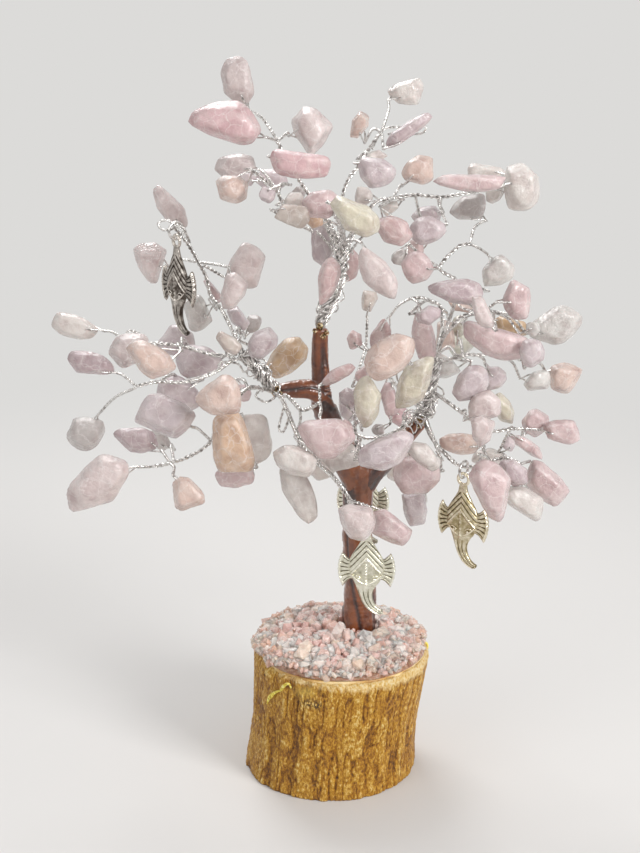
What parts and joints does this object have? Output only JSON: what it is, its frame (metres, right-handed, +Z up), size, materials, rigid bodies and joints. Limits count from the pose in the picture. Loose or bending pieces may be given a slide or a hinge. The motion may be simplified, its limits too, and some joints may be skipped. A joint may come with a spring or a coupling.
{
  "type": "gemstone tree ornament",
  "caption": "Wire tree ornament with rose quartz chip leaves, a moulded trunk, hanging elephant charms and a log slice base topped with quartz gravel.",
  "frame": {"origin": "centre of the log's flat underside, on the table", "axes": "+Z up, the pictured front faces -Y, +X to the right as seen from the front"},
  "size_m": [0.1495, 0.0876, 0.2037],
  "materials": {
    "sapwood": "sawn and varnished",
    "varnished_bark": "gloss varnish",
    "clear_glue": "clear gloss",
    "quartz_gravel": "crushed stone",
    "rose_quartz": "tumbled gloss",
    "trunk_resin": "high gloss",
    "silver_wire": "bright",
    "silver_pewter": "antiqued",
    "dark_pewter": "dark antiqued",
    "antique_brass": "antiqued"
  },
  "bodies": {
    "tree": {"glue_bed": "clear_glue", "gravel_chips": "quartz_gravel", "log_bark": "varnished_bark", "log_core": "sapwood", "spray_centre_back_chips": "rose_quartz", "spray_centre_back_wire": "silver_wire", "spray_centre_low_chips": "rose_quartz", "spray_centre_low_wire": "silver_wire", "spray_far_left_chips": "rose_quartz", "spray_far_left_wire": "silver_wire", "spray_front_low_chips": "rose_quartz", "spray_front_low_wire": "silver_wire", "spray_front_middle_chips": "rose_quartz", "spray_front_middle_wire": "silver_wire", "spray_left_down_chips": "rose_quartz", "spray_left_down_wire": "silver_wire", "spray_left_front_chips": "rose_quartz", "spray_left_front_wire": "silver_wire", "spray_left_high_chips": "rose_quartz", "spray_left_high_wire": "silver_wire", "spray_left_low_chips": "rose_quartz", "spray_left_low_wire": "silver_wire", "spray_left_middle_chips": "rose_quartz", "spray_left_middle_wire": "silver_wire", "spray_right_back_chips": "rose_quartz", "spray_right_back_wire": "silver_wire", "spray_right_far_chips": "rose_quartz", "spray_right_far_high_chips": "rose_quartz", "spray_right_far_high_wire": "silver_wire", "spray_right_far_wire": "silver_wire", "spray_right_front_chips": "rose_quartz", "spray_right_front_wire": "silver_wire", "spray_right_high_chips": "rose_quartz", "spray_right_high_wire": "silver_wire", "spray_right_low_chips": "rose_quartz", "spray_right_low_wire": "silver_wire", "spray_right_middle_chips": "rose_quartz", "spray_right_middle_wire": "silver_wire", "spray_top_front_chips": "rose_quartz", "spray_top_front_wire": "silver_wire", "spray_top_left_high_chips": "rose_quartz", "spray_top_left_high_wire": "silver_wire", "spray_top_left_low_chips": "rose_quartz", "spray_top_left_low_wire": "silver_wire", "spray_top_right_chips": "rose_quartz", "spray_top_right_high_chips": "rose_quartz", "spray_top_right_high_wire": "silver_wire", "spray_top_right_wire": "silver_wire", "trunk": "trunk_resin", "wire_bundle_left": "silver_wire", "wire_bundle_right": "silver_wire", "wire_bundle_top": "silver_wire"},
    "ring_left": {"jump_ring_left": "silver_wire"},
    "charm_left": {"elephant_charm_left": "dark_pewter"},
    "ring_front": {"jump_ring_front": "silver_wire"},
    "charm_front": {"elephant_charm_front": "silver_pewter"},
    "ring_right": {"jump_ring_right": "silver_wire"},
    "charm_right": {"elephant_charm_right": "antique_brass"},
    "ring_back": {"jump_ring_back": "silver_wire"},
    "charm_back": {"elephant_charm_back": "silver_pewter"}
  },
  "joints": [
    {"name": "left_ring_swing", "type": "hinge", "parent": "tree", "child": "ring_left", "pos_m": [-0.04173, 0, 0.15996], "axis": [0.6157, -0.788, 0], "range_deg": [-20, 20]},
    {"name": "left_charm_swing", "type": "hinge", "parent": "ring_left", "child": "charm_left", "pos_m": [-0.04173, 0, 0.15639], "axis": [0.788, 0.6157, 0], "range_deg": [-14, 14]},
    {"name": "front_ring_swing", "type": "hinge", "parent": "tree", "child": "ring_front", "pos_m": [0.00978, -0.01806, 0.08424], "axis": [0.9962, -0.0872, 0], "range_deg": [-20, 20]},
    {"name": "front_charm_swing", "type": "hinge", "parent": "ring_front", "child": "charm_front", "pos_m": [0.00978, -0.01806, 0.08067], "axis": [0.0872, 0.9962, 0], "range_deg": [-16, 16]},
    {"name": "right_ring_swing", "type": "hinge", "parent": "tree", "child": "ring_right", "pos_m": [0.0363, -0.0129, 0.09657], "axis": [0.8191, -0.5736, 0], "range_deg": [-22, 22]},
    {"name": "right_charm_swing", "type": "hinge", "parent": "ring_right", "child": "charm_right", "pos_m": [0.0363, -0.0129, 0.093], "axis": [0.5736, 0.8191, 0], "range_deg": [-16, 16]},
    {"name": "back_ring_swing", "type": "hinge", "parent": "tree", "child": "ring_back", "pos_m": [0.00965, 0.01806, 0.09134], "axis": [0.9781, -0.2079, 0], "range_deg": [-20, 20]},
    {"name": "back_charm_swing", "type": "hinge", "parent": "ring_back", "child": "charm_back", "pos_m": [0.00965, 0.01806, 0.08777], "axis": [0.2079, 0.9781, 0], "range_deg": [-16, 16]}
  ]
}
